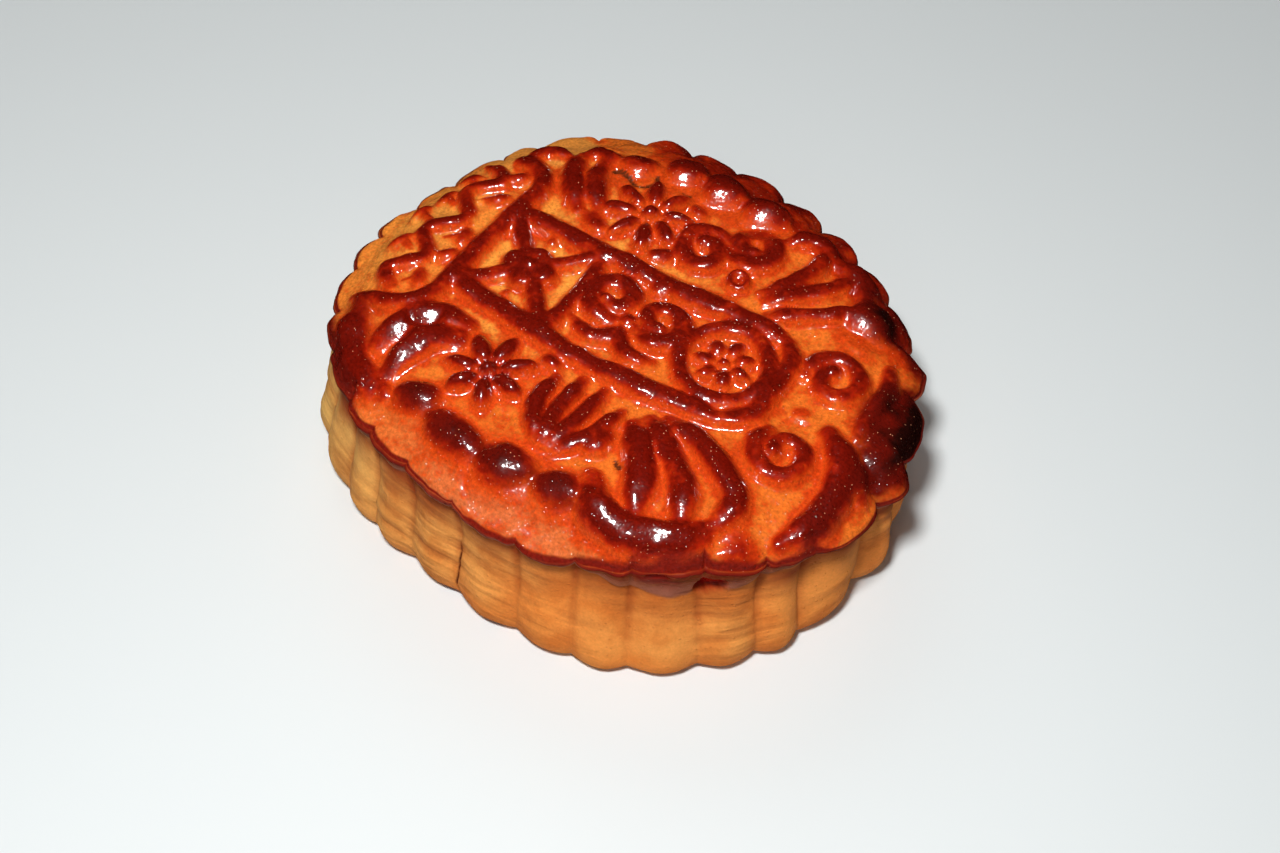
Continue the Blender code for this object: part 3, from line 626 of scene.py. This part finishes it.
# painted shade: the upper beads' scorch sits on their far slopes
for (bun_x, bun_y), size in BUNS:
    if bun_y > 0.0:
        char += 0.55 * spot(bun_x - 0.10 * size[0], bun_y + 0.24 * size[1], 0.44 * size[0], 0.26 * size[1])
    else:
        char += 0.74 * spot(bun_x, bun_y + 0.2, 0.40 * size[0], 0.40 * size[1])
back_margin = smooth_step(20.0, 40.0, np.degrees(angle)) * smooth_step(122.0, 108.0, np.degrees(angle))
back_margin *= smooth_step(0.74, 0.86, share) * crown
browning_and_shade = np.maximum(browning_and_shade, 1.45 * back_margin * (1.0 + 0.4 * soft_noise(places, 6.0, 45)))
# painted light: the near half of each upper bead, which faces the key lamp, is painted lighter
for (bun_x, bun_y), size in BUNS:
    if bun_y > 0.0:
        painted_light_near_half = spot(bun_x + 0.15 * size[0], bun_y - 0.30 * size[1], 0.42 * size[0], 0.26 * size[1])
        browning_and_shade *= 1.0 - 0.60 * painted_light_near_half
bare = smooth_step(0.1, 0.5, spot(-31.0, 24.5, 9.0, 5.5) + spot(-35.5, 18.0, 3.0, 4.0) - 0.4 * relief)
bare = np.maximum(bare, 0.65 * spot(-36.0, 2.0, 6.5, 13.0) * smooth_step(0.9, 0.2, relief))
golden = np.clip(1.4 * spot(-18.0, 0.0, 13.0, 16.0) + 0.8 * spot(-6.0, 15.0, 12.0, 6.0), 0.0, 1.0)
golden = np.maximum(golden, spot(-38.0, 0.0, 8.0, 18.0))
left_margin = smooth_step(0.80, 0.90, share) * hump(angle, 226.0, 18.0)
browning_and_shade = np.maximum(browning_and_shade, left_margin * (0.34 + 0.6 * soft_noise(places, 3.0, 47)))
salmon = smooth_step(0.78, 0.88, share) * hump(angle, 272.0, 34.0)
halo += 1.15 * spot(-12.0, -20.0, 8.0, 7.5) + 0.95 * spot(2.0, -20.5, 6.5, 6.0)
halo += 0.55 * spot(-2.0, -27.0, 14.0, 3.0)
halo += 0.45 * spot(36.0, -10.0, 6.0, 9.0) + 0.5 * spot(-10.0, 20.0, 7.0, 6.0)
browning_and_shade *= 1.0 + 0.22 * spot(-12.0, -20.0, 8.0, 7.0)
browning_and_shade += 0.62 * spot(-12.0, -20.0, 6.5, 6.0) + 0.40 * spot(2.5, -20.5, 5.0, 5.5)
browning_and_shade += 0.42 * (spot(-14.0, -28.6, 5.0, 2.4) + spot(-4.6, -30.0, 4.0, 2.6))
rim_band = 0.30 + 1.1 * hump(angle, 308.0, 20.0) + 0.8 * hump(angle, 220.0, 20.0)
rim_band = np.maximum(rim_band * (1.0 + 0.9 * soft_noise(places, 3.0, 42)), 0.05)
rim_red = smooth_step(-1.0, -0.2, past_rim / rim_band) * (1.0 - bare)
rim_red *= smooth_step(1.0, 0.3, drop / (0.9 + 0.5 * soft_noise(places, 4.0, 46)))
tan = np.clip(hump(angle, 205.0, 50.0) + 0.35 * soft_noise(places, 9.0, 41), 0.0, 1.0)
squeezed = smooth_step(2.2, 0.8, height) * (hump(angle, 266.0, 2.0) + hump(angle, 277.0, 1.5)) * on_wall

# the side is painted darker toward the rim, partly browning and partly painted shade under the rim's
# overhang, and painted shade down in its folds and grooves
groove_shade = smooth_step(0.74, 1.0, np.abs(2.0 * through - 1.0)) * smooth_step(24.0, 12.0, drop)
rim_browning_and_crease_shade = 1.35 * smooth_step(9.0, 0.0, drop - film_depth) * (0.75 + 0.4 * soft_noise(places, 6.0, 43))
rim_browning_and_crease_shade *= 1.0 - 0.65 * hump(angle, 309.0, 20.0)
rim_browning_and_crease_shade += 0.45 * smooth_step(0.1, -0.9, fold) * fold_strength + 0.42 * groove_shade
rim_browning_and_crease_shade = np.clip(rim_browning_and_crease_shade, 0.0, 1.0)

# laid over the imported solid, in metres
low, high = places.min(0), places.max(0)
places -= (0.5 * (low[0] + high[0]), 0.5 * (low[1] + high[1]), 0.0)
places *= MM
places[:, :2] += 0.5 * (np.asarray(cad_low) + np.asarray(cad_high))[:2]


def paint(red, green, blue):
    """A colour as seen on a screen, 0 to 255, in the linear values that shaders take."""
    parts = (c / 255.0 for c in (red, green, blue))
    return tuple(c / 12.92 if c <= 0.04045 else ((c + 0.055) / 1.055) ** 2.4 for c in parts) + (1.0,)


def skin_mesh(name, points, quads, last_face):
    """A mesh of quads and one last many-sided face, shaded smooth."""
    mesh = bpy.data.meshes.new(name)
    corners = np.concatenate((quads.ravel(), last_face))
    starts = np.concatenate((np.arange(len(quads)) * 4, [len(quads) * 4]))
    mesh.vertices.add(len(points))
    mesh.vertices.foreach_set("co", points.astype(np.float32).ravel())
    mesh.loops.add(len(corners))
    mesh.loops.foreach_set("vertex_index", corners.astype(np.int32))
    mesh.polygons.add(len(starts))
    mesh.polygons.foreach_set("loop_start", starts.astype(np.int32))
    mesh.update(calc_edges=True)
    mesh.shade_smooth()
    return mesh


def keep_masks(mesh, name, red, green, blue):
    """Three masks kept on the mesh's points, for its material."""
    layer = mesh.attributes.new(name, "FLOAT_COLOR", "POINT")
    values = np.clip(np.stack((red, green, blue, np.ones(len(red))), -1), 0.0, 1.5)
    layer.data.foreach_set("color", values.astype(np.float32).ravel())


crust_mesh = skin_mesh("mooncake_crust", places, faces, foot[::-1])
FULL_TONE = 1.9                 # the tone and halo that count as 1 in the masks
unused = np.zeros(len(places))
# the first browning mask also carries the painted shade of the ornament's far slopes and the painted light
# on the near halves of the upper beads
keep_masks(crust_mesh, "browning", browning_and_shade / FULL_TONE, (0.5 * halo + 0.5 * web) / FULL_TONE, char)
keep_masks(crust_mesh, "ground", golden, salmon, bare)
keep_masks(crust_mesh, "side", on_wall * smooth_step(0.0, 0.8, drop), film, tan)
keep_masks(crust_mesh, "glaze", thick_film, unused, unused)
keep_masks(crust_mesh, "folds", rim_browning_and_crease_shade, bow, fold_strength * on_wall)
keep_masks(crust_mesh, "marks", np.maximum(pit, squeezed), rim_red, np.maximum(split, 0.8 * side_split))
crust = bpy.data.objects.new("mooncake_crust", crust_mesh)
bpy.context.scene.collection.objects.link(crust)


def math_node(tree, operation, first, second, third=None):
    """One sum; each input is a socket or a number."""
    node = tree.nodes.new("ShaderNodeMath")
    node.operation = operation
    for value, socket in zip((first, second, third), node.inputs):
        if isinstance(value, (int, float)):
            socket.default_value = value
        elif value is not None:
            tree.links.new(value, socket)
    return node.outputs[0]


def weighed(tree, start, *terms):
    """A number plus each value times its weight."""
    total = start
    for value, weight in terms:
        total = math_node(tree, "MULTIPLY_ADD", value, weight, total)
    return total


def stretch(tree, value, low, high, to_low=0.0, to_high=1.0):
    """A value eased from one range into another."""
    node = tree.nodes.new("ShaderNodeMapRange")
    node.interpolation_type = "SMOOTHSTEP"
    for name, number in zip(("From Min", "From Max", "To Min", "To Max"), (low, high, to_low, to_high)):
        node.inputs[name].default_value = number
    tree.links.new(value, node.inputs["Value"])
    return node.outputs[0]


def blend_colours(tree, factor, first, second):
    node = tree.nodes.new("ShaderNodeMix")
    node.data_type = "RGBA"
    for source, socket in zip((factor, first, second), (node.inputs[0], node.inputs[6], node.inputs[7])):
        if isinstance(source, tuple):
            socket.default_value = source
        else:
            tree.links.new(source, socket)
    return node.outputs[2]


def ramp(tree, value, stops):
    """Colours along a value, as ((position, colour), ...)."""
    node = tree.nodes.new("ShaderNodeValToRGB")
    elements = node.color_ramp.elements
    for position, colour in stops[2:]:
        elements.new(position)
    for element, (position, colour) in zip(elements, stops):
        element.position = position
        element.color = colour
    tree.links.new(value, node.inputs["Fac"])
    return node.outputs["Color"]


def masks(tree, name):
    source = tree.nodes.new("ShaderNodeAttribute")
    source.attribute_name = name
    split_node = tree.nodes.new("ShaderNodeSeparateColor")
    tree.links.new(source.outputs["Color"], split_node.inputs[0])
    return split_node.outputs


def baked_grain_group():
    """Mottling of baked dough: broad blotches, fine specks, and a height for a bump."""
    tree = bpy.data.node_groups.new("baked_grain", "ShaderNodeTree")
    tree.interface.new_socket("Vector", in_out="INPUT", socket_type="NodeSocketVector")
    tree.interface.new_socket("Cell Size", in_out="INPUT", socket_type="NodeSocketFloat")
    for name in ("Blotches", "Specks", "Height"):
        tree.interface.new_socket(name, in_out="OUTPUT", socket_type="NodeSocketFloat")
    inside = tree.nodes.new("NodeGroupInput")
    outside = tree.nodes.new("NodeGroupOutput")
    fine_scale = math_node(tree, "DIVIDE", 1.0, inside.outputs["Cell Size"])
    broad_scale = math_node(tree, "MULTIPLY", fine_scale, 0.14)
    outputs = []
    for scale, detail, roughness in ((broad_scale, 3.0, 0.6), (fine_scale, 1.5, 0.6)):
        noise = tree.nodes.new("ShaderNodeTexNoise")
        noise.inputs["Detail"].default_value = detail
        noise.inputs["Roughness"].default_value = roughness
        tree.links.new(inside.outputs["Vector"], noise.inputs["Vector"])
        tree.links.new(scale, noise.inputs["Scale"])
        outputs.append(noise.outputs[0])
    pores = tree.nodes.new("ShaderNodeTexVoronoi")
    tree.links.new(inside.outputs["Vector"], pores.inputs["Vector"])
    tree.links.new(fine_scale, pores.inputs["Scale"])
    bubbles_and_painted_glints = stretch(tree, pores.outputs["Distance"], 0.26, 0.0)
    tree.links.new(outputs[0], outside.inputs["Blotches"])
    tree.links.new(outputs[1], outside.inputs["Specks"])
    tree.links.new(math_node(tree, "MULTIPLY_ADD", outputs[1], 0.25, bubbles_and_painted_glints), outside.inputs["Height"])
    return tree


baked_grain = baked_grain_group()


def grain_in(tree, place, cell_size):
    node = tree.nodes.new("ShaderNodeGroup")
    node.node_tree = baked_grain
    node.inputs["Cell Size"].default_value = cell_size
    tree.links.new(place, node.inputs["Vector"])
    return node.outputs


def crust_material():
    """Egg-glazed crust: orange in the hollows, red to mahogany on the ornament, matt tan below."""
    material = bpy.data.materials.new("baked_crust")
    material.use_nodes = True
    tree = material.node_tree
    shader = tree.nodes["Principled BSDF"]
    place = tree.nodes.new("ShaderNodeTexCoord").outputs["Object"]
    relief_mask, halo_mask, char_mask = list(masks(tree, "browning"))[:3]
    golden_mask, salmon_mask, bare_mask = list(masks(tree, "ground"))[:3]
    side_mask, film_mask, tan_mask = list(masks(tree, "side"))[:3]
    shade_mask, bow_mask, fold_mask = list(masks(tree, "folds"))[:3]
    pit_mask, rim_mask, split_mask = list(masks(tree, "marks"))[:3]
    thick_mask = masks(tree, "glaze")[0]
    grain = grain_in(tree, place, 0.00045)
    dough = grain_in(tree, place, 0.0011)
    blotches, specks, patches = dough["Blotches"], grain["Specks"], grain["Blotches"]

    # fine level wrinkles of the side, bowed down across each lobe
    along = tree.nodes.new("ShaderNodeSeparateXYZ")
    tree.links.new(place, along.inputs[0])
    wrinkle_place = tree.nodes.new("ShaderNodeCombineXYZ")
    tree.links.new(math_node(tree, "MULTIPLY", along.outputs[0], 0.13), wrinkle_place.inputs[0])
    tree.links.new(math_node(tree, "MULTIPLY", along.outputs[1], 0.13), wrinkle_place.inputs[1])
    bowed = math_node(tree, "MULTIPLY_ADD", bow_mask, 0.0015, along.outputs[2])
    tree.links.new(bowed, wrinkle_place.inputs[2])
    wrinkles = grain_in(tree, wrinkle_place.outputs[0], 0.0013)["Specks"]

    # the crown: hollows, then the ornament browned by how high it stands and painted darker on its far
    # slopes as shade, then what is burnt
    mottle = weighed(
        tree, -1.05, (blotches, 0.50), (patches, 0.80), (dough["Specks"], 0.50), (specks, 0.30)
    )
    hollow = blend_colours(tree, golden_mask, paint(224, 108, 34), paint(240, 152, 60))
    hollow = blend_colours(tree, salmon_mask, hollow, paint(212, 104, 54))
    less_golden = weighed(tree, 1.0, (golden_mask, -0.45))
    browning = math_node(tree, "MULTIPLY", stretch(tree, mottle, -0.08, 0.22, 0.0, 0.95), less_golden)
    hollow = blend_colours(tree, browning, hollow, paint(200, 68, 18))
    mottled_halo = math_node(tree, "MULTIPLY", halo_mask, mottle)
    glow = weighed(tree, -0.30, (halo_mask, 0.95), (mottled_halo, 1.2))
    ground = blend_colours(tree, stretch(tree, glow, 0.0, 0.50), hollow, paint(200, 62, 15))
    mottled_relief = math_node(tree, "MULTIPLY", relief_mask, mottle)
    browned_and_shaded = weighed(tree, 0.0, (relief_mask, 0.88), (mottled_relief, 1.5))
    ridge = ramp(
        tree,
        browned_and_shaded,
        (
            (0.0, paint(226, 94, 26)),
            (0.34, paint(196, 57, 12)),
            (0.66, paint(156, 28, 6)),
            (1.0, paint(108, 14, 4)),
        ),
    )
    top = blend_colours(tree, stretch(tree, browned_and_shaded, 0.06, 0.36), ground, ridge)
    bare_now = stretch(tree, weighed(tree, -0.15, (bare_mask, 1.0), (blotches, 0.3)), 0.1, 0.8)
    top = blend_colours(tree, bare_now, top, paint(206, 128, 52))
    top = blend_colours(tree, stretch(tree, rim_mask, 0.1, 1.0), top, paint(124, 24, 12))
    mottled_char = math_node(tree, "MULTIPLY", char_mask, mottle)
    scorched = weighed(tree, -0.08, (char_mask, 1.0), (mottled_char, 0.9))
    top = blend_colours(tree, stretch(tree, scorched, 0.0, 0.50), top, paint(98, 14, 6))
    top = blend_colours(tree, stretch(tree, scorched, 0.38, 1.10), top, paint(34, 8, 5))

    # painted highlights: tiny pale glints painted on the glaze of the ornament, as bubbles in it would
    # catch the light
    bubbles_and_painted_glints = grain_in(tree, place, 0.00075)["Height"]
    on_ornament = stretch(tree, browned_and_shaded, 0.10, 0.34)
    glint_patches = math_node(tree, "MULTIPLY", stretch(tree, patches, 0.42, 0.56), on_ornament)
    bubbles_and_painted_glints = math_node(tree, "MULTIPLY", stretch(tree, bubbles_and_painted_glints, 0.60, 0.92, 0.0, 0.75), glint_patches)
    top = blend_colours(tree, bubbles_and_painted_glints, top, paint(246, 168, 126))

    # the side: tan where it baked least, a grey-brown film of shrunken glaze under the rim
    pale = blend_colours(tree, tan_mask, paint(230, 136, 60), paint(230, 176, 96))
    baked = blend_colours(tree, tan_mask, paint(210, 114, 46), paint(208, 146, 74))
    flank = blend_colours(tree, stretch(tree, blotches, 0.40, 0.64), pale, baked)
    # painted shade: the side darkened under the rim's overhang, with some browning there, and in its folds
    # and grooves
    flank = blend_colours(tree, shade_mask, flank, paint(150, 64, 24))
    # painted shade in the troughs of the fine wrinkles of the side
    crease_shade_lines = math_node(tree, "MULTIPLY", stretch(tree, wrinkles, 0.48, 0.36, 0.0, 0.42), fold_mask)
    flank = blend_colours(tree, crease_shade_lines, flank, paint(150, 80, 36))
    film_edge = weighed(tree, -0.10, (thick_mask, 1.0), (patches, 0.22))
    thin_film = blend_colours(tree, tan_mask, paint(158, 92, 70), paint(134, 94, 84))
    film_colour = blend_colours(tree, stretch(tree, film_edge, 0.05, 0.75), thin_film, paint(118, 22, 13))
    # painted shade in the troughs of the wrinkles of the glaze film
    film_crease_shade = stretch(tree, wrinkles, 0.50, 0.38, 0.0, 0.55)
    film_colour = blend_colours(tree, film_crease_shade, film_colour, paint(92, 34, 26))
    flank = blend_colours(tree, film_mask, flank, film_colour)
    colour = blend_colours(tree, side_mask, top, flank)
    colour = blend_colours(tree, pit_mask, colour, paint(156, 16, 8))
    colour = blend_colours(tree, stretch(tree, split_mask, 0.1, 0.6), colour, paint(96, 40, 16))
    flecks = tree.nodes.new("ShaderNodeHueSaturation")
    tree.links.new(colour, flecks.inputs["Color"])
    fleck_contrast = weighed(tree, 1.15, (side_mask, -0.80))
    fleck_value = math_node(tree, "MULTIPLY_ADD", weighed(tree, -0.5, (specks, 1.0)), fleck_contrast, 0.96)
    tree.links.new(fleck_value, flecks.inputs["Value"])
    tree.links.new(flecks.outputs["Color"], shader.inputs["Base Color"])

    # glazed above, matt below and where the glaze missed
    dry = math_node(tree, "MAXIMUM", math_node(tree, "SUBTRACT", side_mask, film_mask), bare_mask)
    dry = math_node(tree, "SUBTRACT", dry, pit_mask)
    rough = weighed(tree, 0.30, (dry, 0.34), (specks, 0.10))
    tree.links.new(rough, shader.inputs["Roughness"])
    sparkle = tree.nodes.new("ShaderNodeTexNoise")
    sparkle.inputs["Scale"].default_value = 1900.0
    sparkle.inputs["Detail"].default_value = 0.0
    tree.links.new(place, sparkle.inputs["Vector"])
    wet = weighed(tree, 1.0, (math_node(tree, "MULTIPLY", side_mask, film_mask), -0.65))
    wet = math_node(tree, "MULTIPLY", wet, stretch(tree, sparkle.outputs[0], 0.40, 0.56, 0.12, 1.0))
    coat = math_node(tree, "MULTIPLY", wet, stretch(tree, dry, 0.0, 1.0, 1.0, 0.0))
    tree.links.new(coat, shader.inputs["Coat Weight"])
    shader.inputs["Specular IOR Level"].default_value = 0.05
    shader.inputs["Coat Roughness"].default_value = 0.14
    shader.inputs["Coat IOR"].default_value = 1.95

    bump = tree.nodes.new("ShaderNodeBump")
    bump.inputs["Distance"].default_value = 0.00010
    side_wrinkles = math_node(tree, "MULTIPLY", wrinkles, fold_mask)
    tree.links.new(weighed(tree, dough["Height"], (side_wrinkles, 5.0)), bump.inputs["Height"])
    tree.links.new(bump.outputs[0], shader.inputs["Normal"])
    beading = tree.nodes.new("ShaderNodeTexNoise")
    beading.inputs["Scale"].default_value = 1150.0
    beading.inputs["Detail"].default_value = 0.4
    tree.links.new(place, beading.inputs["Vector"])
    glaze_bump = tree.nodes.new("ShaderNodeBump")
    glaze_bump.inputs["Distance"].default_value = 0.00011
    glints = grain_in(tree, place, 0.0007)["Height"]
    glaze = weighed(tree, 0.0, (beading.outputs[0], 0.50), (sparkle.outputs[0], 0.25), (glints, 0.50))
    tree.links.new(glaze, glaze_bump.inputs["Height"])
    tree.links.new(glaze_bump.outputs[0], shader.inputs["Coat Normal"])
    return material


crust_mesh.materials.append(crust_material())
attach(crust, "root")
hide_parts("mooncake")


# ---------------------------------------------------------------------------------------------
# The stage: a plain pale floor, one key light just above the camera, two wide soft fills, and
# the camera looking down on the long side.
# ---------------------------------------------------------------------------------------------
FLOOR_SIZE = 3.0
floor_mesh = bpy.data.meshes.new("floor")
half = FLOOR_SIZE / 2.0
floor_mesh.from_pydata(
    [(-half, -half, 0.0), (half, -half, 0.0), (half, half, 0.0), (-half, half, 0.0)], [], [(0, 1, 2, 3)]
)
floor = bpy.data.objects.new("floor", floor_mesh)
bpy.context.scene.collection.objects.link(floor)
floor_material = bpy.data.materials.new("pale_floor")
floor_material.use_nodes = True
floor_material.node_tree.nodes["Principled BSDF"].inputs["Base Color"].default_value = paint(219, 224, 224)
floor_material.node_tree.nodes["Principled BSDF"].inputs["Roughness"].default_value = 0.6
floor_mesh.materials.append(floor_material)
floor.location.z = cad_low[2] - 0.0002
floor.visible_glossy = False


def aim(thing, target):
    direction = Vector(target) - thing.location
    thing.rotation_euler = direction.to_track_quat("-Z", "Y").to_euler()


def soft_light(name, place, size, power, glossy=True):
    light = bpy.data.lights.new(name, "AREA")
    light.shape = "DISK"
    light.size = size
    light.energy = power
    lamp = bpy.data.objects.new(name, light)
    bpy.context.scene.collection.objects.link(lamp)
    lamp.location = place
    lamp.visible_glossy = glossy
    aim(lamp, (0.0, 0.0, 0.02))


soft_light("key_light", (0.062, -0.160, 0.364), 0.050, 1.68)
soft_light("front_fill", (0.30, -0.75, 0.90), 0.60, 1.2, glossy=False)
soft_light("back_fill", (-0.60, 0.60, 0.80), 0.80, 2.0, glossy=False)
world = bpy.data.worlds.new("studio")
world.use_nodes = True
world.node_tree.nodes["Background"].inputs["Color"].default_value = (1.0, 1.0, 1.0, 1.0)
world.node_tree.nodes["Background"].inputs["Strength"].default_value = 0.035
bpy.context.scene.world = world
world.cycles_visibility.glossy = False

CAMERA_PLACE = Vector((0.1233, -0.1921, 0.3096))
CAMERA_FORWARD = Vector((-0.3192, 0.5067, -0.8008))
CAMERA_UP = Vector((-0.4623, 0.6544, 0.5984))
camera_data = bpy.data.cameras.new("camera")
camera_data.lens = 67.5
camera_data.sensor_width = 36.0
camera = bpy.data.objects.new("camera", camera_data)
bpy.context.scene.collection.objects.link(camera)
right = CAMERA_FORWARD.cross(CAMERA_UP)
turn = Matrix((right, right.cross(CAMERA_FORWARD), -CAMERA_FORWARD)).transposed()
camera.matrix_world = Matrix.Translation(CAMERA_PLACE) @ turn.to_4x4()
bpy.context.scene.camera = camera
